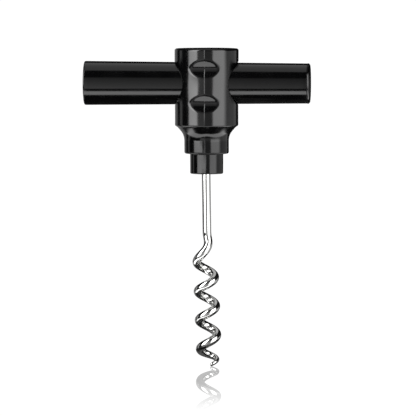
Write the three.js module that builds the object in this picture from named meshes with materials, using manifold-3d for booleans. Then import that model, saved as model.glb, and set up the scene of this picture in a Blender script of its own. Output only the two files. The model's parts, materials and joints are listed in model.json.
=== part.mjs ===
// Pocket corkscrew with a sheath that doubles as its cross handle.
//
// A moulded head holds a chromed steel worm. A tapered plastic sheath, closed at its narrow end by a cap,
// is pushed through the head's cross bore until the taper grips, and makes the T handle. Pulled out again,
// its wide end fits over the boss under the head and covers the worm.
//
// Millimetres, +Z up. The origin is the centre of the head's flat top, the worm points down along -Z, and
// the sheath lies along X with its open wide end at -X.
import * as THREE from "three";
import { mergeVertices } from "three/addons/utils/BufferGeometryUtils.js";
import Module from "manifold-3d";

const wasm = await Module();
wasm.setup();

// ---------- driving dimensions ----------

// Head, from the top down: barrel, flared neck, boss.
const BARREL_TOP_RADIUS = 10.68;
const BARREL_BOTTOM_RADIUS = 10.58;
const BARREL_TOP_FILLET = 0.65;
const BARREL_BOTTOM_FILLET = 0.65;
const BARREL_BOTTOM = -25.95;
const FLARE_TOP = -26.65;
const FLARE_BOTTOM = -31;
const FLARE_CURVE_RADIUS = 7.2;
const NECK_RADIUS = 7.42;
const NECK_FILLET = 0.6;
const NECK_BOTTOM = -35.05;
const BOSS_RADIUS = 5.52;
const BOSS_FILLET = 0.4;
const BOSS_BOTTOM = -41.8;

// Finger scallops: round grooves cut straight across the front and the back of the barrel.
const SCALLOP_HEIGHTS = [-6.85, -18.1];
const SCALLOP_DEPTH = 1.22;
const SCALLOP_CURVE_RADIUS = 3.8;

// Sheath, with X measured from the head's axis.
const HANDLE_AXIS_HEIGHT = -11.6;
const SHEATH_OPEN_X = -40.9;
const SHEATH_NARROW_X = 33.7;
const SHEATH_OPEN_RADIUS = 7.35;
const SHEATH_NARROW_RADIUS = 6.68;
const SHEATH_RIM_FILLET = 0.45;
const SHEATH_BORE_OPEN_RADIUS = 5.62;
const SHEATH_BORE_NARROW_RADIUS = 5.2;

// Cap pressed into the sheath's narrow end.
const CAP_TOP_X = 34.6;
const CAP_FLANGE_RADIUS = 6.78;
const CAP_FLANGE_FILLET = 0.7;
const CAP_SPIGOT_LENGTH = 4.2;
const CAP_WALL = 1.2;

// Worm. Its shank leans a little towards +X on the way down. Its coil is right-handed, leans the same way,
// and closes up and tucks in towards the point.
const WIRE_RADIUS = 1.45;
const SHANK_LEAN = THREE.MathUtils.degToRad(1);
const SHANK_LEAN_START = -43;
const SHANK_BOTTOM = -61;
const LEAD_IN_TURNS = 0.6;
const COIL_TOP = -71.6;
const COIL_RADIUS = 2.9;
const COIL_PITCH = 9.65;
const COIL_TURNS = 3.73;
const COIL_START_ANGLE = THREE.MathUtils.degToRad(184);
const COIL_LEAN = THREE.MathUtils.degToRad(2.2);
const COIL_LEAN_PIVOT = -81.5;
const POINT_TURNS = 0.62;
const POINT_RISE = 1.6;
const POINT_TUCK = 0.2;
const POINT_RADIUS = 0.12;
const ANCHOR_HEIGHT = -22.4;
const ANCHOR_REACH = 6.5;
const ANCHOR_BEND_RADIUS = 2.6;

// Clearances between solids.
const SHEATH_IN_HEAD_GAP = 0.08;
const CAP_IN_SHEATH_GAP = 0.05;
const WORM_IN_HEAD_GAP = 0.1;

// Fineness of the faceted surfaces.
const TURNED_SEGMENTS = 48;
const ARC_STEPS = 2;
const WIRE_SIDES = 12;
const WORM_RINGS = 150;
const CHANNEL_RINGS = 48;
const MERGE_DISTANCE = 1e-4;

// ---------- geometry helpers ----------

// A closed geometry as a solid that can be cut: vertices at one place are merged and empty triangles dropped.
function toSolid(geometry) {
  const bare = geometry.clone();
  bare.deleteAttribute("normal");
  bare.deleteAttribute("uv");
  const merged = mergeVertices(bare, MERGE_DISTANCE);
  const index = merged.index.array;
  const triangles = [];
  for (let i = 0; i < index.length; i += 3) {
    const [a, b, c] = [index[i], index[i + 1], index[i + 2]];
    if (a !== b && b !== c && c !== a) triangles.push(a, b, c);
  }
  return new wasm.Manifold(
    new wasm.Mesh({
      numProp: 3,
      vertProperties: merged.attributes.position.array,
      triVerts: new Uint32Array(triangles),
    }),
  );
}

function toGeometry(solid) {
  const mesh = solid.getMesh();
  const geometry = new THREE.BufferGeometry();
  geometry.setAttribute("position", new THREE.BufferAttribute(mesh.vertProperties, 3));
  geometry.setIndex(new THREE.BufferAttribute(mesh.triVerts, 1));
  geometry.computeVertexNormals();
  return geometry;
}

// A profile of (radius, height) turned about +Z. It runs from low to high on its outside.
function turned(profile) {
  return new THREE.LatheGeometry(profile, TURNED_SEGMENTS).rotateX(Math.PI / 2);
}

// Adds a quarter-round corner to a profile, about its centre (r, z): the lower one turns from facing down to
// facing out, the upper one from facing out to facing up.
function roundLowerCorner(profile, r, z, fillet) {
  profile.absarc(r, z, fillet, -Math.PI / 2, 0);
}

function roundUpperCorner(profile, r, z, fillet) {
  profile.absarc(r, z, fillet, 0, Math.PI / 2);
}

// A closed wire along a curve, whose radius may change along the way.
function wireAlong(curve, radiusAt, rings) {
  const sides = WIRE_SIDES;
  const frames = curve.computeFrenetFrames(rings, false);
  const positions = [];
  const triangles = [];
  const rim = new THREE.Vector3();
  for (let ring = 0; ring <= rings; ring++) {
    const centre = curve.getPointAt(ring / rings);
    const radius = radiusAt(ring / rings);
    for (let side = 0; side < sides; side++) {
      const angle = (2 * Math.PI * side) / sides;
      rim.copy(centre);
      rim.addScaledVector(frames.normals[ring], radius * Math.cos(angle));
      rim.addScaledVector(frames.binormals[ring], radius * Math.sin(angle));
      positions.push(rim.x, rim.y, rim.z);
    }
  }
  for (let ring = 0; ring < rings; ring++) {
    for (let side = 0; side < sides; side++) {
      const next = (side + 1) % sides;
      const [a, b] = [ring * sides + side, ring * sides + next];
      const [c, d] = [a + sides, b + sides];
      triangles.push(a, b, c, b, d, c);
    }
  }
  const lastRing = rings * sides;
  for (let side = 1; side < sides - 1; side++) {
    triangles.push(0, side + 1, side);
    triangles.push(lastRing, lastRing + side, lastRing + side + 1);
  }
  const geometry = new THREE.BufferGeometry();
  geometry.setAttribute("position", new THREE.Float32BufferAttribute(positions, 3));
  geometry.setIndex(triangles);
  return geometry;
}

// ---------- worm ----------

const shankEnd = new THREE.Vector3(
  Math.tan(SHANK_LEAN) * (SHANK_LEAN_START - SHANK_BOTTOM),
  0,
  SHANK_BOTTOM,
);

// The screw: a lead-in that swings out from the shank's end, then the coil. Going down, it turns clockwise
// as seen from above.
class ScrewCurve extends THREE.Curve {
  getPoint(t, target = new THREE.Vector3()) {
    const turnsDown = t * (LEAD_IN_TURNS + COIL_TURNS);
    const leadIn = Math.min(turnsDown / LEAD_IN_TURNS, 1);
    const coiled = Math.max(turnsDown - LEAD_IN_TURNS, 0);
    const pointed = Math.max(coiled - COIL_TURNS + POINT_TURNS, 0) / POINT_TURNS;
    const swing = THREE.MathUtils.smoothstep(leadIn, 0, 1);
    const angle = COIL_START_ANGLE + 2 * Math.PI * (LEAD_IN_TURNS - turnsDown);
    const leadInHeight = THREE.MathUtils.lerp(SHANK_BOTTOM, COIL_TOP, leadIn);
    const z = leadInHeight - COIL_PITCH * coiled + POINT_RISE * pointed ** 2;
    const coilAxisX = Math.tan(COIL_LEAN) * (COIL_LEAN_PIVOT - z);
    const axisX = THREE.MathUtils.lerp(shankEnd.x, coilAxisX, swing);
    const radius = COIL_RADIUS * swing * (1 - POINT_TUCK * pointed);
    return target.set(axisX + radius * Math.cos(angle), radius * Math.sin(angle), z);
  }
}

// The wire above the screw: the anchor bent along Y inside the head, the bend, and the shank.
function shankCurves(anchorReach) {
  const anchorEnd = new THREE.Vector3(0, anchorReach, ANCHOR_HEIGHT);
  const bendStart = new THREE.Vector3(0, ANCHOR_BEND_RADIUS, ANCHOR_HEIGHT);
  const bendCorner = new THREE.Vector3(0, 0, ANCHOR_HEIGHT);
  const bendEnd = new THREE.Vector3(0, 0, ANCHOR_HEIGHT - ANCHOR_BEND_RADIUS);
  const leanStart = new THREE.Vector3(0, 0, SHANK_LEAN_START);
  const path = new THREE.CurvePath();
  path.add(new THREE.LineCurve3(anchorEnd, bendStart));
  path.add(new THREE.QuadraticBezierCurve3(bendStart, bendCorner, bendEnd));
  path.add(new THREE.LineCurve3(bendEnd, leanStart));
  path.add(new THREE.LineCurve3(leanStart, shankEnd));
  return path;
}

function makeWorm() {
  const path = shankCurves(ANCHOR_REACH);
  path.add(new ScrewCurve());
  const pointLength = POINT_TURNS * 2 * Math.PI * COIL_RADIUS;
  const pointStart = 1 - pointLength / path.getLength();
  const radiusAt = (t) => {
    const pointed = Math.max(t - pointStart, 0) / (1 - pointStart);
    return THREE.MathUtils.lerp(WIRE_RADIUS, POINT_RADIUS, pointed);
  };
  return wireAlong(path, radiusAt, WORM_RINGS);
}

// The room the wire takes up in the head, open through the boss's end.
function wormChannel() {
  const radiusAt = () => WIRE_RADIUS + WORM_IN_HEAD_GAP;
  return wireAlong(shankCurves(ANCHOR_REACH + WORM_IN_HEAD_GAP), radiusAt, CHANNEL_RINGS);
}

// ---------- sheath ----------

// The sheath's outside radius at a place along X, from its even taper.
function sheathRadiusAt(x) {
  const along = (x - SHEATH_OPEN_X) / (SHEATH_NARROW_X - SHEATH_OPEN_X);
  return THREE.MathUtils.lerp(SHEATH_OPEN_RADIUS, SHEATH_NARROW_RADIUS, along);
}

// Turned about +Z as the head is, then laid along X at the handle's height.
function turnedAlongX(profile) {
  return turned(profile).rotateY(Math.PI / 2).translate(0, 0, HANDLE_AXIS_HEIGHT);
}

function makeSheathTube() {
  const fillet = SHEATH_RIM_FILLET;
  const profile = new THREE.Path();
  profile.moveTo(SHEATH_BORE_OPEN_RADIUS, SHEATH_OPEN_X);
  profile.lineTo(SHEATH_OPEN_RADIUS - fillet, SHEATH_OPEN_X);
  roundLowerCorner(profile, SHEATH_OPEN_RADIUS - fillet, SHEATH_OPEN_X + fillet, fillet);
  profile.lineTo(SHEATH_NARROW_RADIUS, SHEATH_NARROW_X);
  profile.lineTo(SHEATH_BORE_NARROW_RADIUS, SHEATH_NARROW_X);
  profile.lineTo(SHEATH_BORE_OPEN_RADIUS, SHEATH_OPEN_X);
  return turnedAlongX(profile.getPoints(ARC_STEPS));
}

// A cup-shaped spigot under a round-edged flange that stands just proud of the tube.
function makeSheathCap() {
  const spigotRadius = SHEATH_BORE_NARROW_RADIUS - CAP_IN_SHEATH_GAP;
  const cupRadius = spigotRadius - CAP_WALL;
  const spigotEnd = SHEATH_NARROW_X - CAP_SPIGOT_LENGTH;
  const flangeX = SHEATH_NARROW_X + CAP_IN_SHEATH_GAP;
  const fillet = CAP_FLANGE_FILLET;
  const profile = new THREE.Path();
  profile.moveTo(0, CAP_TOP_X - CAP_WALL);
  profile.lineTo(cupRadius, CAP_TOP_X - CAP_WALL);
  profile.lineTo(cupRadius, spigotEnd);
  profile.lineTo(spigotRadius, spigotEnd);
  profile.lineTo(spigotRadius, flangeX);
  profile.lineTo(CAP_FLANGE_RADIUS, flangeX);
  profile.lineTo(CAP_FLANGE_RADIUS, CAP_TOP_X - fillet);
  roundUpperCorner(profile, CAP_FLANGE_RADIUS - fillet, CAP_TOP_X - fillet, fillet);
  profile.lineTo(0, CAP_TOP_X);
  return turnedAlongX(profile.getPoints(ARC_STEPS));
}

// ---------- head ----------

function headBlank() {
  const neckCorner = NECK_RADIUS - NECK_FILLET;
  const bossCorner = BOSS_RADIUS - BOSS_FILLET;
  const bottomCorner = BARREL_BOTTOM_RADIUS - BARREL_BOTTOM_FILLET;
  const topCorner = BARREL_TOP_RADIUS - BARREL_TOP_FILLET;
  const flareAngle = Math.asin((FLARE_TOP - FLARE_BOTTOM) / FLARE_CURVE_RADIUS);
  const profile = new THREE.Path();
  profile.moveTo(0, BOSS_BOTTOM);
  profile.lineTo(bossCorner, BOSS_BOTTOM);
  roundLowerCorner(profile, bossCorner, BOSS_BOTTOM + BOSS_FILLET, BOSS_FILLET);
  profile.lineTo(BOSS_RADIUS, NECK_BOTTOM);
  profile.lineTo(neckCorner, NECK_BOTTOM);
  roundLowerCorner(profile, neckCorner, NECK_BOTTOM + NECK_FILLET, NECK_FILLET);
  profile.absarc(
    NECK_RADIUS + FLARE_CURVE_RADIUS,
    FLARE_BOTTOM,
    FLARE_CURVE_RADIUS,
    Math.PI,
    Math.PI - flareAngle,
    true,
  );
  profile.lineTo(bottomCorner, BARREL_BOTTOM);
  roundLowerCorner(profile, bottomCorner, BARREL_BOTTOM + BARREL_BOTTOM_FILLET, BARREL_BOTTOM_FILLET);
  roundUpperCorner(profile, topCorner, -BARREL_TOP_FILLET, BARREL_TOP_FILLET);
  profile.lineTo(0, 0);
  return turned(profile.getPoints(ARC_STEPS));
}

// The cone that cuts the head's cross bore, just wider than the sheath all the way through.
function crossBoreCutter() {
  const reach = 2 * BARREL_TOP_RADIUS;
  return turnedAlongX([
    new THREE.Vector2(0, -reach),
    new THREE.Vector2(sheathRadiusAt(-reach) + SHEATH_IN_HEAD_GAP, -reach),
    new THREE.Vector2(sheathRadiusAt(reach) + SHEATH_IN_HEAD_GAP, reach),
    new THREE.Vector2(0, reach),
  ]);
}

// A round bar along X that bites one scallop out of the barrel. Side is -1 for the front and 1 for the back.
function scallopCutter(side, height) {
  const length = 2 * BARREL_TOP_RADIUS;
  const bar = new THREE.CylinderGeometry(
    SCALLOP_CURVE_RADIUS,
    SCALLOP_CURVE_RADIUS,
    length,
    TURNED_SEGMENTS,
  );
  const distance = BARREL_TOP_RADIUS - SCALLOP_DEPTH + SCALLOP_CURVE_RADIUS;
  return bar.rotateZ(Math.PI / 2).translate(0, side * distance, height);
}

function makeHead() {
  const cutters = [crossBoreCutter(), wormChannel()];
  for (const height of SCALLOP_HEIGHTS) {
    cutters.push(scallopCutter(-1, height), scallopCutter(1, height));
  }
  const head = cutters.reduce((solid, cutter) => solid.subtract(toSolid(cutter)), toSolid(headBlank()));
  return toGeometry(head);
}

// ---------- assembly ----------

const blackPlastic = { color: 0x0b0b0c, roughness: 0.18, metalness: 0 };
const chromedSteel = { color: 0xd8dadc, roughness: 0.08, metalness: 1 };

function part(name, geometry, finish) {
  const mesh = new THREE.Mesh(geometry, new THREE.MeshStandardMaterial(finish));
  mesh.name = name;
  return mesh;
}

const corkscrew = new THREE.Group();
corkscrew.add(part("head", makeHead(), blackPlastic));
corkscrew.add(part("worm", makeWorm(), chromedSteel));
corkscrew.add(part("sheath_tube", makeSheathTube(), blackPlastic));
corkscrew.add(part("sheath_cap", makeSheathCap(), blackPlastic));

export default corkscrew;
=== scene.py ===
"""Looks of the pocket corkscrew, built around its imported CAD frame.

The CAD solids are faceted, so each one is replaced here by a smooth piece of the same size: the moulded
head, the chromed worm, the sheath's tube and its cap. Shapes are worked out in millimetres in the CAD frame,
+Z up, with the sheath along X, and become metres when they become Blender meshes.
"""
import json
import math

import bpy
import numpy as np
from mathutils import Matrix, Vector


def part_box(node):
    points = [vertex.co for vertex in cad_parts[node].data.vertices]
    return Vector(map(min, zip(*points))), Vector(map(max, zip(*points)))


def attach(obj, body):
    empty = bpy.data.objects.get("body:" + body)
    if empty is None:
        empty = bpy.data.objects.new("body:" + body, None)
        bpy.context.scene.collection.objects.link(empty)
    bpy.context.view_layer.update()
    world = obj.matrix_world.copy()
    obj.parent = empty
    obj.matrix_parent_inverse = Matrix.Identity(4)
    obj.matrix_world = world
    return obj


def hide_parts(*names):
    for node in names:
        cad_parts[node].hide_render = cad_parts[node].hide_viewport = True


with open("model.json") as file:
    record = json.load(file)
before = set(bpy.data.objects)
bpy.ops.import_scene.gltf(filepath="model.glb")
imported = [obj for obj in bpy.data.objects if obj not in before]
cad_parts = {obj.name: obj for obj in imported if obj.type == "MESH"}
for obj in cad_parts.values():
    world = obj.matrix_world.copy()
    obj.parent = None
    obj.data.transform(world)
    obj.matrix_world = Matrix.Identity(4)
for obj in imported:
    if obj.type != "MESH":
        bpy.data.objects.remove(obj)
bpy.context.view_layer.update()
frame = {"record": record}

MM = 0.001


def cad_box_mm(node):
    """A CAD node's lowest and highest corners, in millimetres."""
    low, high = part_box(node)
    return Vector(low) / MM, Vector(high) / MM


HEAD_LOW, HEAD_HIGH = cad_box_mm("head")
TUBE_LOW, TUBE_HIGH = cad_box_mm("sheath_tube")
CAP_LOW, CAP_HIGH = cad_box_mm("sheath_cap")
WORM_LOW, WORM_HIGH = cad_box_mm("worm")

# Head, from the top down: barrel, flare, neck, boss.
BARREL_TOP_RADIUS = HEAD_HIGH.x
BARREL_DRAFT = 0.1
BARREL_BOTTOM = -25.95
BARREL_TOP_FILLET = 0.65
BARREL_BOTTOM_FILLET = 0.65
FLARE_TOP = -26.65
FLARE_BOTTOM = -30.75
FLARE_CURVE_RADIUS = 5.2
FLARE_STEEPEST = math.radians(34.2)
FLARE_BLEND = 0.5
NECK_RADIUS = 7.42
NECK_BOTTOM = -35.05
NECK_FILLET = 0.6
BOSS_RADIUS = 5.52
BOSS_BOTTOM = HEAD_LOW.z
BOSS_FILLET = 0.4
INNER_CORNER_FILLET = 0.15

# Finger scallops, cut into the front and the back of the barrel.
SCALLOP_DEEPEST = (-6.65, -18.13)
SCALLOP_DEPTH = 1.24
SCALLOP_UPPER_SLOPE = 0.663
SCALLOP_UPPER_BEND = 0.9
SCALLOP_LOWER_SLOPE = 0.933
SCALLOP_LOWER_BEND = 2.0
SCALLOP_EDGE_FILLET = 0.38

# Cross bore, and the parting line that the mould leaves over the barrel and the neck.
HANDLE_HEIGHT = (TUBE_LOW.z + TUBE_HIGH.z) / 2
BORE_RADIUS = 7.17
BORE_RIM_FILLET = 0.32
SEAM_HEIGHT = 0.035
SEAM_WIDTH = 0.08
SEAM_END_BLEND = 0.4
SEAM_LOW_BELOW = -24.5
SEAM_LOW_BLEND = 2.0
SEAM_LOW_SHARE = 0.7

# Wandering of the moulded surface where the plastic shrank as it cooled: a few waves, each weaker and
# shorter than the one before, and each in another direction.
SINK_DEPTH = 0.02
SINK_LENGTH = 21.0
SINK_SHARES = (1.0, 0.6, 0.35)
SINK_SHORTENING = 0.7
SINK_START_X = 0.4
SINK_TURN_X = 2.1
SINK_TURN_Y = 1.3
SINK_RISE = 1.4
SINK_PHASE = 1.7

# A shallow hollow in the front and the back, between the scallops.
HOLLOW_DEPTH = 0.11
HOLLOW_X = -3.3
HOLLOW_Z = -12.4
HOLLOW_WIDTH = 3.0
HOLLOW_HEIGHT = 4.0

# The head's mesh: the grid that its surface is found on, how often its points are moved onto the surface,
# and the least slope that such a move reckons with.
HEAD_GRID_STEP = 0.24
HEAD_GRID_MARGIN = 0.4
SEAM_GRID_LINES = 9
SETTLE_PASSES = 4
LEAST_SLOPE_SQUARED = 0.1
GRADIENT_STEP = 1e-3

# Worm.
WIRE_RADIUS = 1.45
SHANK_SHIFT = -0.16
SHANK_LEAN = math.radians(0.8)
SHANK_LEAN_START = -43.0
SHANK_BOTTOM = -61.0
LEAD_IN_TURNS = 0.6
COIL_TOP = -71.6
COIL_RADIUS = 2.9
COIL_PITCH = 9.65
COIL_TURNS = 3.73
COIL_START_ANGLE = math.radians(184)
COIL_LEAN = math.radians(2.2)
COIL_LEAN_PIVOT = -81.5
POINT_TURNS = 0.62
POINT_RISE = 1.72
POINT_TUCK = 0.2
POINT_RADIUS = 0.5
POINT_END_RADIUS = 0.05
ANCHOR_HEIGHT = -22.4
ANCHOR_REACH = 6.5
ANCHOR_BEND_RADIUS = 2.6
WORM_IN_HEAD_GAP = 0.1
PITCH_BLEND_TURNS = 0.06
SHANK_STEPS = 200
SCREW_STEPS = 6000
WIRE_SIDES = 48
WIRE_RINGS = 900

# Sheath and its cap.
TUBE_OPEN_X = TUBE_LOW.x
TUBE_NARROW_X = TUBE_HIGH.x
TUBE_OPEN_RADIUS = (TUBE_HIGH.z - TUBE_LOW.z) / 2
TUBE_NARROW_RADIUS = 6.68
TUBE_BORE_OPEN_RADIUS = 5.62
TUBE_BORE_NARROW_RADIUS = 5.2
TUBE_RIM_FILLET = 0.45
TUBE_BORE_FILLET = 0.3
TUBE_NARROW_FILLET = 0.12
CAP_FACE_X = CAP_HIGH.x
CAP_RADIUS = (CAP_HIGH.z - CAP_LOW.z) / 2
CAP_FILLET = 0.85
CAP_SPIGOT_LENGTH = 4.2
CAP_WALL = 1.2
CAP_INNER_FILLET = CAP_WALL / 4
CAP_GAP = 0.05
TURNED_SIDES = 192
ARC_STEPS = 8
TUBE_STEPS = 60
CAP_FACE_STEPS = 6


# ---------- rounded solids as signed distances, negative inside, in millimetres ----------


def round_intersection(a, b, fillet):
    """Inside both a and b, with a fillet along their outside corner."""
    corner = np.hypot(np.maximum(a + fillet, 0), np.maximum(b + fillet, 0))
    return np.minimum(np.maximum(a, b), -fillet) + corner


def round_union(a, b, fillet):
    """Inside a or b, with a fillet along their inside corner."""
    corner = np.hypot(np.maximum(fillet - a, 0), np.maximum(fillet - b, 0))
    return np.maximum(np.minimum(a, b), fillet) - corner


def smooth_step(value):
    t = np.clip(value, 0, 1)
    return t * t * (3 - 2 * t)


def barrel_blank(radius, z):
    """The drafted cylinder that the bore and the scallops are cut into."""
    side = radius - BARREL_TOP_RADIUS - BARREL_DRAFT * z / (HEAD_HIGH.z - BARREL_BOTTOM)
    barrel = round_intersection(side, z - HEAD_HIGH.z, BARREL_TOP_FILLET)
    return round_intersection(barrel, BARREL_BOTTOM - z, BARREL_BOTTOM_FILLET)


def flare_blank(radius, z):
    """From the neck upwards: an arc, the cone that it runs into, and a shallow ledge under the barrel."""
    centre = NECK_RADIUS + FLARE_CURVE_RADIUS
    curve = FLARE_CURVE_RADIUS - np.hypot(radius - centre, z - FLARE_BOTTOM)
    cone_bottom = FLARE_BOTTOM + FLARE_CURVE_RADIUS * math.sin(FLARE_STEEPEST)
    cone_radius = centre - FLARE_CURVE_RADIUS * math.cos(FLARE_STEEPEST)
    across, above = radius - cone_radius, z - cone_bottom
    cone = across * math.cos(FLARE_STEEPEST) - above * math.sin(FLARE_STEEPEST)
    curve = np.where(above > 0, cone, curve)

    top_radius = cone_radius + (FLARE_TOP - cone_bottom) * math.tan(FLARE_STEEPEST)
    ledge_radius = BARREL_TOP_RADIUS - BARREL_DRAFT - BARREL_BOTTOM_FILLET
    run, rise = ledge_radius - top_radius, BARREL_BOTTOM - FLARE_TOP
    ledge = ((radius - top_radius) * rise - (z - FLARE_TOP) * run) / math.hypot(run, rise)
    return np.maximum(round_union(curve, ledge, FLARE_BLEND), FLARE_BOTTOM - z)


def stem_blank(radius, z):
    """Everything under the barrel: flare, neck and boss."""
    neck = round_intersection(radius - NECK_RADIUS, NECK_BOTTOM - z, NECK_FILLET)
    boss = round_intersection(radius - BOSS_RADIUS, BOSS_BOTTOM - z, BOSS_FILLET)
    below_barrel = z - BARREL_BOTTOM
    flare = np.maximum(flare_blank(radius, z), below_barrel)
    neck = np.maximum(neck, below_barrel)
    boss = np.maximum(boss, below_barrel)
    return round_union(np.minimum(flare, neck), boss, INNER_CORNER_FILLET)


def turned_blank(radius, z):
    """The head before anything is cut out of it."""
    return round_union(barrel_blank(radius, z), stem_blank(radius, z), INNER_CORNER_FILLET)


def scallop(depth_axis, z, deepest):
    """One finger scallop, a groove along X. depth_axis grows outwards: -y in front and +y at the back."""
    up = z - deepest
    slope = np.where(up > 0, SCALLOP_UPPER_SLOPE, SCALLOP_LOWER_SLOPE)
    bend = np.where(up > 0, SCALLOP_UPPER_BEND, SCALLOP_LOWER_BEND)
    flank = np.hypot(slope * up, bend)
    steepness = np.hypot(1, slope**2 * up / flank)
    return (BARREL_TOP_RADIUS - SCALLOP_DEPTH + flank - bend - depth_axis) / steepness


def capsule(points, start, end, radius):
    """The solid within radius of the line from start to end."""
    start, end = np.array(start), np.array(end)
    line = end - start
    offset = points - start
    along = np.clip(offset @ line / (line @ line), 0, 1)
    return np.linalg.norm(offset - along[..., None] * line, axis=-1) - radius


def worm_channel(points):
    """The room that the wire takes up in the head: up the middle, then along Y to its anchored end."""
    radius = WIRE_RADIUS + WORM_IN_HEAD_GAP
    bend_low = (0, 0, ANCHOR_HEIGHT - ANCHOR_BEND_RADIUS)
    bend_high = (0, ANCHOR_BEND_RADIUS, ANCHOR_HEIGHT)
    middle = (0, ANCHOR_BEND_RADIUS / 4, ANCHOR_HEIGHT - ANCHOR_BEND_RADIUS / 4)
    corners = [(0, 0, 2 * BOSS_BOTTOM), bend_low, middle, bend_high, (0, ANCHOR_REACH, ANCHOR_HEIGHT)]
    points = points - np.array([SHANK_SHIFT, 0, 0])
    pieces = [capsule(points, a, b, radius) for a, b in zip(corners, corners[1:])]
    return np.minimum.reduce(pieces)


def sink(points):
    """How far the moulded surface has sunk, in millimetres: slow waves, and the hollow."""
    wave = np.zeros(points.shape[:-1])
    for number, share in enumerate(SINK_SHARES):
        x, y = math.sin(SINK_TURN_X * number + SINK_START_X), math.cos(SINK_TURN_Y * number)
        direction = np.array([x, y, SINK_RISE])
        direction /= np.linalg.norm(direction)
        length = SINK_LENGTH / (1 + SINK_SHORTENING * number)
        wave += share * np.sin(2 * math.pi * (points @ direction) / length + SINK_PHASE * number)
    across = (points[..., 0] - HOLLOW_X) / HOLLOW_WIDTH
    above = (points[..., 2] - HOLLOW_Z) / HOLLOW_HEIGHT
    return SINK_DEPTH * wave + HOLLOW_DEPTH * np.exp(-(across**2) - above**2)


def head_distance(points):
    """The whole moulded head."""
    x, y, z = points[..., 0], points[..., 1], points[..., 2]
    head = turned_blank(np.hypot(x, y), z)
    for deepest in SCALLOP_DEEPEST:
        for side in (-1, 1):
            cut = scallop(side * y, z, deepest)
            head = round_intersection(head, -cut, SCALLOP_EDGE_FILLET)
    share = SEAM_LOW_SHARE + (1 - SEAM_LOW_SHARE) * smooth_step((z - SEAM_LOW_BELOW) / SEAM_LOW_BLEND)
    seam = SEAM_HEIGHT * share * np.exp(-((x / SEAM_WIDTH) ** 2))
    head = head - seam * smooth_step((z - NECK_BOTTOM) / SEAM_END_BLEND) + sink(points)
    bore = np.hypot(y, z - HANDLE_HEIGHT) - BORE_RADIUS
    head = round_intersection(head, -bore, BORE_RIM_FILLET)
    return round_intersection(head, -worm_channel(points), INNER_CORNER_FILLET)


def gradient(distance, points):
    """How fast distance grows along x, y and z at the points."""
    result = np.empty_like(points)
    for axis in range(3):
        shift = np.zeros(3)
        shift[axis] = GRADIENT_STEP
        result[:, axis] = (distance(points + shift) - distance(points - shift)) / (2 * GRADIENT_STEP)
    return result


def grid_lines(low, high, step, fine_at_zero=False):
    """Evenly spaced grid lines, with closer ones across the parting line if asked."""
    lines = np.linspace(low, high, int(round((high - low) / step)) + 1)
    if fine_at_zero:
        fine = np.linspace(-2 * SEAM_WIDTH, 2 * SEAM_WIDTH, SEAM_GRID_LINES)
        clear = 2 * SEAM_WIDTH + step / 3
        lines = lines[np.abs(lines) > clear]
        lines = np.sort(np.concatenate([lines, fine]))
    return lines


def edge_crossings(grid, value, axis):
    """Where the surface crosses the grid's edges along one axis.

    Gives the index of each edge's first end, the crossing point, and whether the first end is outside.
    """
    first = np.take(value, range(value.shape[axis] - 1), axis)
    second = np.take(value, range(1, value.shape[axis]), axis)
    index = np.array(np.nonzero((first < 0) != (second < 0)))
    first, second = first[tuple(index)], second[tuple(index)]
    share = first / (first - second)
    ahead = index.copy()
    ahead[axis] += 1
    start, end = grid[tuple(index)], grid[tuple(ahead)]
    return index, start + share[:, None] * (end - start), first >= 0


def cells_round(index, axis, cell_shape):
    """The numbers of the four cells round each edge along one axis, in turn."""
    across = [other for other in range(3) if other != axis]
    cells = []
    for steps in ((-1, -1), (0, -1), (0, 0), (-1, 0)):
        cell = index.copy()
        cell[across] += np.array(steps)[:, None]
        cells.append(np.ravel_multi_index(tuple(cell), cell_shape))
    return cells


def surface_net(distance, lines):
    """Points and quads of the surface where distance changes sign over a grid of lines along x, y and z."""
    grid = np.stack(np.meshgrid(*lines, indexing="ij"), axis=-1)
    value = np.stack([distance(layer) for layer in grid])
    cell_shape = tuple(np.array(value.shape) - 1)
    total = np.zeros((np.prod(cell_shape), 3))
    count = np.zeros(np.prod(cell_shape))
    quads = []
    for axis in range(3):
        index, crossing, outside_first = edge_crossings(grid, value, axis)
        cells = cells_round(index, axis, cell_shape)
        for cell in cells:
            np.add.at(total, cell, crossing)
            np.add.at(count, cell, 1)
        quad = np.stack(cells, axis=1)
        flip = outside_first ^ (axis == 1)
        quad[flip] = quad[flip][:, ::-1]
        quads.append(quad)
    used = np.nonzero(count)[0]
    number = np.full(len(count), -1)
    number[used] = np.arange(len(used))
    return total[used] / count[used][:, None], number[np.concatenate(quads)]


def settle(distance, points):
    """Moves points onto the surface and returns them with the surface's own normals."""
    for _ in range(SETTLE_PASSES):
        slope = gradient(distance, points)
        squared = np.maximum((slope**2).sum(1), LEAST_SLOPE_SQUARED)
        points = points - (distance(points) / squared)[:, None] * slope
    slope = gradient(distance, points)
    return points, slope / np.linalg.norm(slope, axis=1)[:, None]


# ---------- Blender meshes ----------


def make_piece(name, points, faces, normals, material, node):
    """A smooth mesh object that stands for one CAD node and rides on the node's body."""
    mesh = bpy.data.meshes.new(name)
    mesh.from_pydata((points * MM).tolist(), [], faces)
    mesh.polygons.foreach_set("use_smooth", [True] * len(mesh.polygons))
    mesh.update()
    if normals is not None:
        mesh.normals_split_custom_set_from_vertices(normals.tolist())
    mesh.materials.append(material)
    piece = bpy.data.objects.new(name, mesh)
    bpy.context.scene.collection.objects.link(piece)
    bodies = frame["record"]["behaviour"]["bodies"]
    body = next(body for body, nodes in bodies.items() if node in nodes)
    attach(piece, body)
    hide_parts(node)
    return piece


def set_attribute(piece, name, values):
    """Stores one number for each vertex, for the piece's material."""
    attribute = piece.data.attributes.new(name, "FLOAT", "POINT")
    attribute.data.foreach_set("value", np.asarray(values, np.float32))


# ---------- turned pieces along X ----------


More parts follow.
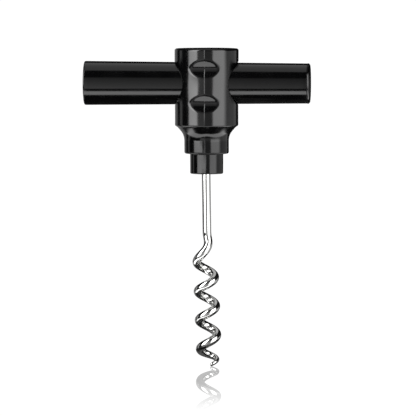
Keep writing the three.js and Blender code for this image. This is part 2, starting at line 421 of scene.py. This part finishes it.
def arc(centre_x, centre_r, radius, start, end):
    """Points (x, radius) of an arc; angles in degrees from +X towards outwards."""
    angles = np.radians(np.linspace(start, end, ARC_STEPS + 1))
    return [(centre_x + radius * math.cos(a), centre_r + radius * math.sin(a)) for a in angles]


def line(start, end, steps):
    """Points between two points of a profile, without the end points."""
    shares = np.linspace(0, 1, steps + 1)[1:-1]
    return [(start[0] + s * (end[0] - start[0]), start[1] + s * (end[1] - start[1])) for s in shares]


def tube_taper(x):
    """The tube's outside radius."""
    along = (x - TUBE_OPEN_X) / (TUBE_NARROW_X - TUBE_OPEN_X)
    return TUBE_OPEN_RADIUS + along * (TUBE_NARROW_RADIUS - TUBE_OPEN_RADIUS)


def tube_profile():
    """The tube's section, a closed loop: over the open rim, along the outside, back through the bore."""
    rim, lip, narrow = TUBE_RIM_FILLET, TUBE_BORE_FILLET, TUBE_NARROW_FILLET
    open_rim = arc(TUBE_OPEN_X + lip, TUBE_BORE_OPEN_RADIUS + lip, lip, 270, 180)
    open_rim += arc(TUBE_OPEN_X + rim, TUBE_OPEN_RADIUS - rim, rim, 180, 90)
    narrow_rim = arc(TUBE_NARROW_X - narrow, tube_taper(TUBE_NARROW_X) - narrow, narrow, 90, 0)
    narrow_rim += arc(TUBE_NARROW_X - narrow, TUBE_BORE_NARROW_RADIUS + narrow, narrow, 0, -90)
    outside = line(open_rim[-1], narrow_rim[0], TUBE_STEPS)
    bore = line(narrow_rim[-1], open_rim[0], TUBE_STEPS)
    return open_rim + outside + narrow_rim + bore


def cap_profile():
    """The cap's section, from the axis inside the cup, round the spigot and flange, to the axis outside."""
    spigot = TUBE_BORE_NARROW_RADIUS - CAP_GAP
    cup = spigot - CAP_WALL
    spigot_end = TUBE_NARROW_X - CAP_SPIGOT_LENGTH
    flange_x = TUBE_NARROW_X + CAP_GAP
    small, edge = CAP_INNER_FILLET, TUBE_NARROW_FILLET
    profile = [(CAP_FACE_X - CAP_WALL, 0)]
    profile += arc(CAP_FACE_X - CAP_WALL - small, cup - small, small, 0, 90)
    profile += arc(spigot_end + small, cup + small, small, 270, 180)
    profile += arc(spigot_end + small, spigot - small, small, 180, 90)
    profile += [(flange_x, spigot)]
    profile += arc(flange_x + edge, CAP_RADIUS - edge, edge, 180, 90)
    profile += arc(CAP_FACE_X - CAP_FILLET, CAP_RADIUS - CAP_FILLET, CAP_FILLET, 90, 0)
    profile += line(profile[-1], (CAP_FACE_X, 0), CAP_FACE_STEPS)
    return profile + [(CAP_FACE_X, 0)]


def turn_about_x(profile, closed_loop):
    """Points and faces of a profile of (x, radius) turned about the handle's axis."""
    angles = np.linspace(0, 2 * math.pi, TURNED_SIDES, endpoint=False)
    points, rings = [], []
    for x, radius in profile:
        if radius == 0:
            rings.append([len(points)] * TURNED_SIDES)
            points.append((x, 0, HANDLE_HEIGHT))
            continue
        rings.append(list(range(len(points), len(points) + TURNED_SIDES)))
        for a in angles:
            points.append((x, -radius * math.sin(a), HANDLE_HEIGHT + radius * math.cos(a)))
    pairs = list(zip(rings, rings[1:]))
    if closed_loop:
        pairs.append((rings[-1], rings[0]))
    faces = []
    for ring, following in pairs:
        for side in range(TURNED_SIDES):
            after = (side + 1) % TURNED_SIDES
            loop = [ring[side], following[side], following[after], ring[after]]
            faces.append(list(dict.fromkeys(loop)))
    return np.array(points), faces


# ---------- worm ----------


def blended_fall(turns):
    """How far the screw has fallen after some turns: fast over the lead-in, then at the coil's pitch."""
    fast = (SHANK_BOTTOM - COIL_TOP) / LEAD_IN_TURNS
    past = turns - LEAD_IN_TURNS
    soft = 0.5 * (past + np.hypot(past, PITCH_BLEND_TURNS))
    return fast * turns - (fast - COIL_PITCH) * soft


def screw_points(steps):
    """The screw's centre line: a lead-in that swings out from the shank, then the coil to the point."""
    turns = np.linspace(0, LEAD_IN_TURNS + COIL_TURNS, steps)
    lead_in = np.minimum(turns / LEAD_IN_TURNS, 1)
    coiled = np.maximum(turns - LEAD_IN_TURNS, 0)
    pointed = np.maximum(coiled - COIL_TURNS + POINT_TURNS, 0) / POINT_TURNS
    swing = smooth_step(lead_in)
    angle = COIL_START_ANGLE + 2 * math.pi * (LEAD_IN_TURNS - turns)
    z = SHANK_BOTTOM - blended_fall(turns) + POINT_RISE * smooth_step(pointed)
    shank_x = SHANK_SHIFT + math.tan(SHANK_LEAN) * (SHANK_LEAN_START - SHANK_BOTTOM)
    coil_x = math.tan(COIL_LEAN) * (COIL_LEAN_PIVOT - z)
    axis_x = shank_x + swing * (coil_x - shank_x)
    radius = COIL_RADIUS * swing * (1 - POINT_TUCK * pointed)
    return np.stack([axis_x + radius * np.cos(angle), radius * np.sin(angle), z], axis=1)


def shank_points(steps):
    """The wire above the screw: its anchored end inside the head, the bend, and the straight shank."""
    share = np.linspace(0, 1, steps)[:, None]
    anchor_end = np.array([SHANK_SHIFT, ANCHOR_REACH, ANCHOR_HEIGHT])
    bend_start = np.array([SHANK_SHIFT, ANCHOR_BEND_RADIUS, ANCHOR_HEIGHT])
    corner = np.array([SHANK_SHIFT, 0, ANCHOR_HEIGHT])
    bend_end = np.array([SHANK_SHIFT, 0, ANCHOR_HEIGHT - ANCHOR_BEND_RADIUS])
    lean_start = np.array([SHANK_SHIFT, 0, SHANK_LEAN_START])
    shank_x = SHANK_SHIFT + math.tan(SHANK_LEAN) * (SHANK_LEAN_START - SHANK_BOTTOM)
    shank_end = np.array([shank_x, 0, SHANK_BOTTOM])
    anchor = anchor_end + share * (bend_start - anchor_end)
    bend = (1 - share) ** 2 * bend_start + 2 * share * (1 - share) * corner + share**2 * bend_end
    upper = bend_end + share * (lean_start - bend_end)
    lower = lean_start + share * (shank_end - lean_start)
    return np.concatenate([anchor[:-1], bend[:-1], upper[:-1], lower[:-1]])


def evenly_spaced(path, count):
    """The path again, as count points at equal steps along it, and each one's distance from the start."""
    steps = np.linalg.norm(np.diff(path, axis=0), axis=1)
    distance = np.concatenate([[0], np.cumsum(steps)])
    even = np.linspace(0, distance[-1], count)
    return np.stack([np.interp(even, distance, path[:, axis]) for axis in range(3)], axis=1), even


def sweep(path, distance, radii):
    """Points and normals round a path, ring by ring, without twist."""
    tangent = np.gradient(path, axis=0)
    tangent /= np.linalg.norm(tangent, axis=1)[:, None]
    narrowing = -np.gradient(radii, distance)
    side = np.cross(tangent[0], (1, 0, 0))
    angles = np.linspace(0, 2 * math.pi, WIRE_SIDES, endpoint=False)
    points, normals = [], []
    for centre, along, radius, slope in zip(path, tangent, radii, narrowing):
        side = side - (side @ along) * along
        side /= np.linalg.norm(side)
        up = np.cross(along, side)
        rim = np.cos(angles)[:, None] * side + np.sin(angles)[:, None] * up
        points.append(centre + radius * rim)
        normals.append((rim + slope * along) / math.hypot(1, slope))
    return np.concatenate(points), np.concatenate(normals)


def wire_radii(distance):
    """The wire's radius along its length: even, then narrowing to the point, which has a rounded end."""
    point_length = POINT_TURNS * 2 * math.pi * COIL_RADIUS
    pointed = np.clip((distance - distance[-1] + point_length) / point_length, 0, 1)
    radii = WIRE_RADIUS + pointed * (POINT_RADIUS - WIRE_RADIUS)
    rounded = np.clip(1 - (distance[-1] - distance) / POINT_RADIUS, 0, 1)
    return np.maximum(radii * np.sqrt(1 - rounded**2), POINT_END_RADIUS)


def worm_mesh():
    """The wire's points, faces and normals, and each ring's distance along it."""
    path = np.concatenate([shank_points(SHANK_STEPS), screw_points(SCREW_STEPS)])
    path, distance = evenly_spaced(path, WIRE_RINGS)
    points, normals = sweep(path, distance, wire_radii(distance))
    faces = []
    for ring in range(WIRE_RINGS - 1):
        for side in range(WIRE_SIDES):
            after = (side + 1) % WIRE_SIDES
            a, b = ring * WIRE_SIDES + side, ring * WIRE_SIDES + after
            faces.append([a, b, b + WIRE_SIDES, a + WIRE_SIDES])
    last = (WIRE_RINGS - 1) * WIRE_SIDES
    faces.append(list(range(WIRE_SIDES - 1, -1, -1)))
    faces.append([last + side for side in range(WIRE_SIDES)])
    return points, faces, normals, distance


# ---------- materials ----------

# A "by" value is a ramp as Graph.ramp takes it: from low, from high, to low, to high. A "seen" value is the
# range of a noise over which the mark comes in.

# Black plastic, in metres: rubbed patches, grain, hairline scratches, and painted shade below the flare.
HEAD_ROUGHNESS = 0.13
SHEATH_ROUGHNESS = 0.12
PLASTIC_COLOUR = (0.0007, 0.0007, 0.0008, 1)
PLASTIC_IOR = 1.5
GLOSS_WITH_PAINTED_SHADE_BY_HEIGHT = (-0.0312, -0.0302, 0.33, 0.5)
PATCH_SCALE = 120.0
PATCH_DETAIL = 3.0
PATCH_SEEN = (0.35, 0.7)
PATCH_ROUGHENING = 0.05
RIPPLE_SCALE = 330.0
RIPPLE_DETAIL = 1.0
RIPPLE_HEIGHT = 5e-6
GRAIN_SCALE = 2600.0
GRAIN_HEIGHT = 4e-7
SCRATCH_TURN = (0.3, 0.5, 0.2)
SCRATCH_SCALE = (60.0, 60.0, 2600.0)
SCRATCH_DETAIL = 1.0
SCRATCH_SEEN = (0.66, 0.74)
SCRATCH_DEPTH = 4e-7

# Chromed steel: drawing marks that are long and narrow along the wire, and a slow swell.
STEEL_COLOUR = (0.55, 0.55, 0.54, 1)
MARK_SCALE = (9.0, 9.0, 0.35)
MARK_DETAIL = 4.0
MARK_HARSHNESS = 0.65
MARK_HEIGHT = 2.5e-6
STEEL_ROUGHNESS_BY_MARK = (0.3, 0.7, 0.05, 0.12)
SWELL_SCALE = 0.9
SWELL_HEIGHT = 1.5e-5


class Graph:
    """A node tree with short calls. Most of them add a node and return its output socket."""

    def __init__(self, tree):
        self.tree = tree
        tree.nodes.clear()

    def node(self, kind, **settings):
        node = self.tree.nodes.new(kind)
        for name, value in settings.items():
            setattr(node, name, value)
        return node

    def feed(self, socket, value):
        if isinstance(value, bpy.types.NodeSocket):
            self.tree.links.new(value, socket)
        else:
            socket.default_value = value

    def math(self, operation, *values):
        node = self.node("ShaderNodeMath", operation=operation)
        for socket, value in zip(node.inputs, values):
            self.feed(socket, value)
        return node.outputs[0]

    def product(self, first, *others):
        for other in others:
            first = self.math("MULTIPLY", first, other)
        return first

    def split(self, vector):
        """The vector's three numbers, by the names X, Y and Z."""
        node = self.node("ShaderNodeSeparateXYZ")
        self.feed(node.inputs["Vector"], vector)
        return node.outputs

    def stretched(self, vector, scale, turn=(0.0, 0.0, 0.0)):
        node = self.node("ShaderNodeMapping")
        self.feed(node.inputs["Vector"], vector)
        node.inputs["Rotation"].default_value = turn
        node.inputs["Scale"].default_value = scale
        return node.outputs["Vector"]

    def ramp(self, value, low, high, to_low=0.0, to_high=1.0, smooth=True):
        """value mapped from low..high to to_low..to_high, and held at the ends."""
        kind = "SMOOTHSTEP" if smooth else "LINEAR"
        node = self.node("ShaderNodeMapRange", interpolation_type=kind)
        for name, number in (
            ("Value", value),
            ("From Min", low),
            ("From Max", high),
            ("To Min", to_low),
            ("To Max", to_high),
        ):
            self.feed(node.inputs[name], number)
        return node.outputs["Result"]

    def window(self, value, low, high, soft, soft_high=None):
        """1 between low and high, 0 outside, with soft edges."""
        soft_high = soft_high or soft
        opening = self.ramp(value, low - soft, low + soft)
        closing = self.ramp(value, high - soft_high, high + soft_high, 1.0, 0.0)
        return self.product(opening, closing)

    def noise(self, vector, scale, detail=2.0, roughness=0.5):
        node = self.node("ShaderNodeTexNoise")
        self.feed(node.inputs["Vector"], vector)
        node.inputs["Scale"].default_value = scale
        node.inputs["Detail"].default_value = detail
        node.inputs["Roughness"].default_value = roughness
        return node.outputs["Fac"]

    def bump(self, height, distance, normal=None):
        """Bends the normal as if the surface rose by distance, in metres, where height is 1."""
        node = self.node("ShaderNodeBump")
        node.inputs["Strength"].default_value = 1.0
        node.inputs["Distance"].default_value = distance
        self.feed(node.inputs["Height"], height)
        if normal is not None:
            self.feed(node.inputs["Normal"], normal)
        return node.outputs["Normal"]

    def glow(self, strength):
        node = self.node("ShaderNodeEmission")
        self.feed(node.inputs["Strength"], strength)
        return node.outputs["Emission"]

    def blend(self, share, first, second):
        """The first shader where share is 0, the second where it is 1."""
        node = self.node("ShaderNodeMixShader")
        for socket, value in zip(node.inputs, (share, first, second)):
            self.feed(socket, value)
        return node.outputs["Shader"]

    def finish(self, shader, kind="ShaderNodeOutputMaterial"):
        self.feed(self.node(kind).inputs["Surface"], shader)


def new_material(name):
    """A material and the graph of its empty node tree."""
    material = bpy.data.materials.new(name)
    material.use_nodes = True
    return material, Graph(material.node_tree)


def black_plastic(name, base_roughness):
    """Glossy black moulded plastic: faint mould texture, hairline scratches and a few rubbed patches."""
    material, graph = new_material(name)
    place = graph.node("ShaderNodeTexCoord").outputs["Object"]

    patches = graph.noise(place, PATCH_SCALE, PATCH_DETAIL)
    roughness = graph.ramp(patches, *PATCH_SEEN, base_roughness, base_roughness + PATCH_ROUGHENING)
    streaks = graph.noise(graph.stretched(place, SCRATCH_SCALE, SCRATCH_TURN), 1.0, SCRATCH_DETAIL)
    scratches = graph.ramp(streaks, *SCRATCH_SEEN)
    normal = graph.bump(graph.noise(place, RIPPLE_SCALE, RIPPLE_DETAIL), RIPPLE_HEIGHT)
    normal = graph.bump(graph.noise(place, GRAIN_SCALE), GRAIN_HEIGHT, normal)
    normal = graph.bump(scratches, -SCRATCH_DEPTH, normal)

    shader = graph.node("ShaderNodeBsdfPrincipled")
    shader.inputs["Base Color"].default_value = PLASTIC_COLOUR
    shader.inputs["IOR"].default_value = PLASTIC_IOR
    # Painted shade: weaker reflections below the flare, on the neck and the boss, stand in for the shade
    # under the barrel.
    gloss_with_painted_shade = graph.ramp(graph.split(place)["Z"], *GLOSS_WITH_PAINTED_SHADE_BY_HEIGHT)
    graph.feed(shader.inputs["Specular IOR Level"], gloss_with_painted_shade)
    graph.feed(shader.inputs["Roughness"], roughness)
    graph.feed(shader.inputs["Normal"], normal)
    graph.finish(shader.outputs["BSDF"])
    return material


def chromed_steel():
    """Bright chrome over drawn wire, whose fine marks run along the wire."""
    material, graph = new_material("chromed_steel")
    wire = graph.node("ShaderNodeCombineXYZ")
    for socket, name in zip(wire.inputs, ("round_x", "round_y", "along")):
        stored = graph.node("ShaderNodeAttribute", attribute_name=name)
        graph.feed(socket, stored.outputs["Fac"])

    stretched = graph.stretched(wire.outputs["Vector"], MARK_SCALE)
    marks = graph.noise(stretched, 1.0, MARK_DETAIL, MARK_HARSHNESS)
    normal = graph.bump(marks, MARK_HEIGHT)
    normal = graph.bump(graph.noise(wire.outputs["Vector"], SWELL_SCALE), SWELL_HEIGHT, normal)

    shader = graph.node("ShaderNodeBsdfPrincipled")
    shader.inputs["Base Color"].default_value = STEEL_COLOUR
    shader.inputs["Metallic"].default_value = 1.0
    graph.feed(shader.inputs["Roughness"], graph.ramp(marks, *STEEL_ROUGHNESS_BY_MARK))
    graph.feed(shader.inputs["Normal"], normal)
    graph.finish(shader.outputs["BSDF"])
    return material


# ---------- pieces ----------


def make_head(material):
    """The moulded head, meshed from its distance function."""
    reach = BARREL_TOP_RADIUS + HEAD_GRID_MARGIN
    low, high = BOSS_BOTTOM - HEAD_GRID_MARGIN, HEAD_HIGH.z + HEAD_GRID_MARGIN
    lines = [
        grid_lines(-reach, reach, HEAD_GRID_STEP, fine_at_zero=True),
        grid_lines(-reach, reach, HEAD_GRID_STEP),
        grid_lines(low, high, HEAD_GRID_STEP),
    ]
    points, faces = surface_net(head_distance, lines)
    points, normals = settle(head_distance, points)
    return make_piece("head_moulding", points, faces.tolist(), normals, material, "head")


def make_worm(material):
    points, faces, normals, distance = worm_mesh()
    worm = make_piece("worm_wire", points, faces, normals, material, "worm")
    angles = np.linspace(0, 2 * math.pi, WIRE_SIDES, endpoint=False)
    set_attribute(worm, "round_x", np.tile(np.cos(angles), WIRE_RINGS))
    set_attribute(worm, "round_y", np.tile(np.sin(angles), WIRE_RINGS))
    set_attribute(worm, "along", np.repeat(distance, WIRE_SIDES))
    return worm


def make_tube(material):
    points, faces = turn_about_x(tube_profile(), closed_loop=True)
    return make_piece("sheath_shell", points, faces, None, material, "sheath_tube")


def make_cap(material):
    points, faces = turn_about_x(cap_profile(), closed_loop=False)
    return make_piece("sheath_plug", points, faces, None, material, "sheath_cap")


# ---------- studio ----------

# Camera, in metres; the lens and the sensor in millimetres.
CAMERA_AZIMUTH = math.radians(4.0)
CAMERA_DISTANCE = 1.667
CAMERA_HEIGHT = 0.0523
AIM_SIDEWAYS = 0.00046
AIM_HEIGHT = -0.0533
SENSOR_WIDTH = 36.0
FRAME_PIXELS = 416
FOCAL_PIXELS = 5000.0

# Lights all round, which only reflections and shading see. Yaw is counted from the camera to the right,
# height and pitch from level upwards, all in degrees. A dim panel is its light, yaw range and height range.
PANEL_SOFT_EDGE = 2.5
LEFT_BOX_YAW = (-68.0, -34.5)
LEFT_BOX_HEIGHT = (-9.5, 60.0)
LEFT_BOX_BY_YAW = (-66.0, -38.0, 5.4, 6.8)
LEFT_BOX_BY_HEIGHT = (-5.0, 20.0, 1.0, 1.4)
RIGHT_BOX_YAW = (22.0, 71.0)
RIGHT_BOX_HEIGHT = (-29.0, 45.0)
RIGHT_BOX_BY_HEIGHT = (-29.0, -7.0, 1.1, 4.3)
RIGHT_BOX_OUTER_EDGE = 9.0
DIM_PANELS = (
    (0.7, (72.0, 106.0), (-31.0, 8.0)),
    (0.57, (106.0, 134.0), (-31.0, 8.0)),
    (0.65, (-113.0, -100.0), (-31.0, 20.0)),
    (0.4, (-176.0, -131.0), (-31.0, 20.0)),
)
FILL_YAW = (-34.5, 22.0)
FILL_HEIGHT = (-32.0, 27.0)
FILL_BY_YAW = (-8.5, -5.5, 0.85, 0.42)
FILL_BY_PITCH = (26.0, -29.0, 0.37, 1.12)
TABLE_LIGHT = 3.1
TABLE_FAR_EDGE_BY_HEIGHT = (-49.5, -44.5, 1.0, 0.0)
TABLE_NEAR_EDGE_BY_HEIGHT = (-70.5, -65.5, 0.0, 1.0)
TABLE_LIFT_BY_YAW = (0.0, 60.0, 0.0, 16.0)
TABLE_NEAR_LIFT_SHARE = 0.55
TABLE_YAW = (-128.0, 128.0)
TABLE_SOFT_ENDS = 6.0
BAR_LIGHT = 0.7
BAR_PITCH = (68.0, 130.0)
BAR_SOFT_EDGE = 2.0
BAR_RIGHTWARDS = (-0.3, 0.3)
BAR_SOFT_ENDS = 0.05
DARKEST_LIGHT = 0.012
BACKGROUND_LIGHT = 1.05

# Floor, in metres: its mirroring, and the dark card that reflections see on it.
FLOOR_SIZE = 60.0
MIRROR_BY_DISTANCE = (0.04, 0.165, 0.55, 0.0)
MIRROR_BY_STEEPNESS = (0.11, 0.45, 1.0, 0.1)
CARD_X = (-0.02, 0.055)
CARD_Y = (-0.015, 0.25)
CARD_SOFT_EDGE = 0.008
MOTTLE_SCALE = 110.0
CARD_LIGHT_BY_MOTTLE = (0.46, 0.64, 0.01, 0.14)

# A narrow white card close to the tool: its distance in metres, its left edge as a yaw, and its two steps,
# each as right edge (yaw), top and bottom (millimetres).
NEAR_CARD_DISTANCE = 0.06
NEAR_CARD_LIGHT = 6.3
NEAR_CARD_LEFT = -33.0
NEAR_CARD_STEPS = ((-21.6, -33.8, -38.6), (-4.8, -38.6, -44.8))
NEAR_CARD_BY_STEEPNESS = (0.1, 0.13, 1.0, 0.0)


def add_camera():
    sideways = Vector((math.cos(CAMERA_AZIMUTH), math.sin(CAMERA_AZIMUTH), 0))
    towards = Vector((math.sin(CAMERA_AZIMUTH), -math.cos(CAMERA_AZIMUTH), 0))
    data = bpy.data.cameras.new("camera")
    data.sensor_width = SENSOR_WIDTH
    data.lens = SENSOR_WIDTH * FOCAL_PIXELS / FRAME_PIXELS
    camera = bpy.data.objects.new("camera", data)
    bpy.context.scene.collection.objects.link(camera)
    camera.location = towards * CAMERA_DISTANCE + Vector((0, 0, CAMERA_HEIGHT))
    aim = sideways * AIM_SIDEWAYS + Vector((0, 0, AIM_HEIGHT))
    camera.rotation_mode = "QUATERNION"
    camera.rotation_quaternion = (aim - camera.location).to_track_quat("-Z", "Y")
    bpy.context.scene.camera = camera


class Studio(Graph):
    """The world's node tree, whose lights are fixed to the camera.

    It knows a ray's direction: its way rightwards (-1 to 1), and its yaw, pitch and height in degrees.
    """

    def __init__(self, tree):
        super().__init__(tree)
        seen = self.split(self.node("ShaderNodeTexCoord").outputs["Camera"])
        towards = self.product(seen["Z"], -1.0)
        self.rightwards = seen["X"]
        self.yaw = self.degrees("ARCTAN2", seen["X"], towards)
        self.pitch = self.degrees("ARCTAN2", seen["Y"], towards)
        self.height = self.degrees("ARCSINE", seen["Y"])

    def degrees(self, operation, *values):
        return self.product(self.math(operation, *values), math.degrees(1))

    def panel(self, light, yaw_range, height_range, outer_edge=None):
        across = self.window(self.yaw, *yaw_range, PANEL_SOFT_EDGE, outer_edge)
        tall = self.window(self.height, *height_range, PANEL_SOFT_EDGE)
        return self.product(across, tall, light)

    def left_box(self):
        by_yaw = self.ramp(self.yaw, *LEFT_BOX_BY_YAW, smooth=False)
        by_height = self.ramp(self.height, *LEFT_BOX_BY_HEIGHT)
        return self.panel(self.product(by_yaw, by_height), LEFT_BOX_YAW, LEFT_BOX_HEIGHT)

    def right_box(self):
        light = self.ramp(self.height, *RIGHT_BOX_BY_HEIGHT, smooth=False)
        return self.panel(light, RIGHT_BOX_YAW, RIGHT_BOX_HEIGHT, RIGHT_BOX_OUTER_EDGE)

    def fill(self):
        """A weak, even panel behind the camera, between the two boxes."""
        by_yaw = self.ramp(self.yaw, *FILL_BY_YAW)
        by_pitch = self.ramp(self.pitch, *FILL_BY_PITCH, smooth=False)
        return self.panel(self.product(by_yaw, by_pitch), FILL_YAW, FILL_HEIGHT)

    def table(self):
        """A white table top below the front, whose edges are higher towards its two ends."""
        lift = self.ramp(self.math("ABSOLUTE", self.yaw), *TABLE_LIFT_BY_YAW)
        near_lift = self.product(lift, TABLE_NEAR_LIFT_SHARE)
        far_edge = self.ramp(self.math("SUBTRACT", self.height, lift), *TABLE_FAR_EDGE_BY_HEIGHT)
        near_edge = self.ramp(self.math("SUBTRACT", self.height, near_lift), *TABLE_NEAR_EDGE_BY_HEIGHT)
        across = self.window(self.yaw, *TABLE_YAW, TABLE_SOFT_ENDS)
        return self.product(self.product(far_edge, near_edge), self.product(across, TABLE_LIGHT))

    def top_bar(self):
        """A bar light overhead."""
        across = self.window(self.rightwards, *BAR_RIGHTWARDS, BAR_SOFT_ENDS)
        deep = self.window(self.pitch, *BAR_PITCH, BAR_SOFT_EDGE)
        return self.product(across, deep, BAR_LIGHT)


def add_light():
    """Softboxes and dark flags all round, fixed to the camera, and plain white behind the object."""
    world = bpy.data.worlds.new("studio")
    bpy.context.scene.world = world
    world.use_nodes = True
    studio = Studio(world.node_tree)
    lights = [studio.left_box(), studio.right_box()]
    lights += [studio.panel(*dim_panel) for dim_panel in DIM_PANELS]
    lights += [studio.fill(), studio.table(), studio.top_bar()]
    total = DARKEST_LIGHT
    for light in lights:
        total = studio.math("ADD", light, total)

    paths = studio.node("ShaderNodeLightPath")
    plain = studio.math("MAXIMUM", paths.outputs["Is Camera Ray"], paths.outputs["Is Singular Ray"])
    strength = studio.node("ShaderNodeMix", data_type="FLOAT")
    studio.feed(strength.inputs["Factor"], plain)
    studio.feed(strength.inputs["A"], total)
    strength.inputs["B"].default_value = BACKGROUND_LIGHT
    background = studio.node("ShaderNodeBackground")
    background.inputs["Color"].default_value = (1, 1, 1, 1)
    studio.feed(background.inputs["Strength"], strength.outputs["Result"])
    studio.finish(background.outputs["Background"], "ShaderNodeOutputWorld")


def mirroring_white(graph, geometry, tip):
    """White that mirrors what stands close to the tip, most of all at a low angle."""
    offset = graph.node("ShaderNodeVectorMath", operation="DISTANCE")
    graph.feed(offset.inputs[0], geometry["Position"])
    offset.inputs[1].default_value = tip
    near = graph.ramp(offset.outputs["Value"], *MIRROR_BY_DISTANCE)
    grazing = graph.ramp(graph.split(geometry["Incoming"])["Z"], *MIRROR_BY_STEEPNESS)
    mirror = graph.node("ShaderNodeBsdfGlossy")
    mirror.inputs["Color"].default_value = (1, 1, 1, 1)
    mirror.inputs["Roughness"].default_value = 0.0
    return graph.blend(graph.product(near, grazing), graph.glow(BACKGROUND_LIGHT), mirror.outputs["BSDF"])


def dark_card(graph, geometry, clear):
    """What reflections see of the floor: a mottled dark card round the tip, and nothing beyond it."""
    place = graph.split(geometry["Position"])
    sideways = graph.window(place["X"], *CARD_X, CARD_SOFT_EDGE)
    forward = graph.window(place["Y"], *CARD_Y, CARD_SOFT_EDGE)
    mottle = graph.noise(geometry["Position"], MOTTLE_SCALE)
    card = graph.glow(graph.ramp(mottle, *CARD_LIGHT_BY_MOTTLE))
    return graph.blend(graph.product(sideways, forward), clear, card)


def floor_material(tip):
    """Plain white, faintly mirroring what stands close to the tip, and clear when seen from below.

    Reflections see no white floor. They see a dark card round the tip, and the studio's lights beyond it.
    """
    material, graph = new_material("pale_floor")
    geometry = graph.node("ShaderNodeNewGeometry").outputs
    clear = graph.node("ShaderNodeBsdfTransparent").outputs["BSDF"]
    reflection = graph.node("ShaderNodeLightPath").outputs["Is Glossy Ray"]
    white, card = mirroring_white(graph, geometry, tip), dark_card(graph, geometry, clear)
    above = graph.blend(reflection, white, card)
    graph.finish(graph.blend(geometry["Backfacing"], above, clear))
    return material


def add_flat(name, corners, faces, material):
    """A flat thing of the studio."""
    mesh = bpy.data.meshes.new(name)
    mesh.from_pydata(corners, [], faces)
    mesh.materials.append(material)
    flat = bpy.data.objects.new(name, mesh)
    bpy.context.scene.collection.objects.link(flat)
    return flat


def add_floor():
    height = WORM_LOW.z * MM
    half = FLOOR_SIZE / 2
    corners = [(-half, -half, height), (half, -half, height), (half, half, height), (-half, half, height)]
    tip_x = (WORM_LOW.x + WORM_HIGH.x) / 2 * MM
    add_flat("floor", corners, [(0, 1, 2, 3)], floor_material((tip_x, 0.0, height)))


def near_card_corner(yaw, height):
    angle = math.radians(yaw) + CAMERA_AZIMUTH
    return NEAR_CARD_DISTANCE * math.sin(angle), -NEAR_CARD_DISTANCE * math.cos(angle), height * MM


def near_card_material():
    """White that only level reflections see."""
    material, graph = new_material("near_card")
    clear = graph.node("ShaderNodeBsdfTransparent").outputs["BSDF"]
    incoming = graph.split(graph.node("ShaderNodeNewGeometry").outputs["Incoming"])
    level = graph.ramp(graph.math("ABSOLUTE", incoming["Z"]), *NEAR_CARD_BY_STEEPNESS)
    graph.finish(graph.blend(level, clear, graph.glow(NEAR_CARD_LIGHT)))
    return material


def add_near_card():
    """The narrow white card close by, which shows only on the neck and the boss."""
    corners, faces = [], []
    for right_edge, top, bottom in NEAR_CARD_STEPS:
        first = len(corners)
        corners += [near_card_corner(NEAR_CARD_LEFT, top), near_card_corner(right_edge, top)]
        corners += [near_card_corner(right_edge, bottom), near_card_corner(NEAR_CARD_LEFT, bottom)]
        faces.append((first, first + 1, first + 2, first + 3))
    card = add_flat("near_card", corners, faces, near_card_material())
    card.visible_camera = False
    card.visible_diffuse = False
    card.visible_shadow = False
    card.visible_transmission = False


sheath_black = black_plastic("sheath_black", SHEATH_ROUGHNESS)
make_head(black_plastic("head_black", HEAD_ROUGHNESS))
make_worm(chromed_steel())
make_tube(sheath_black)
make_cap(sheath_black)
add_camera()
add_light()
add_floor()
add_near_card()
bpy.context.scene.view_settings.view_transform = "Standard"
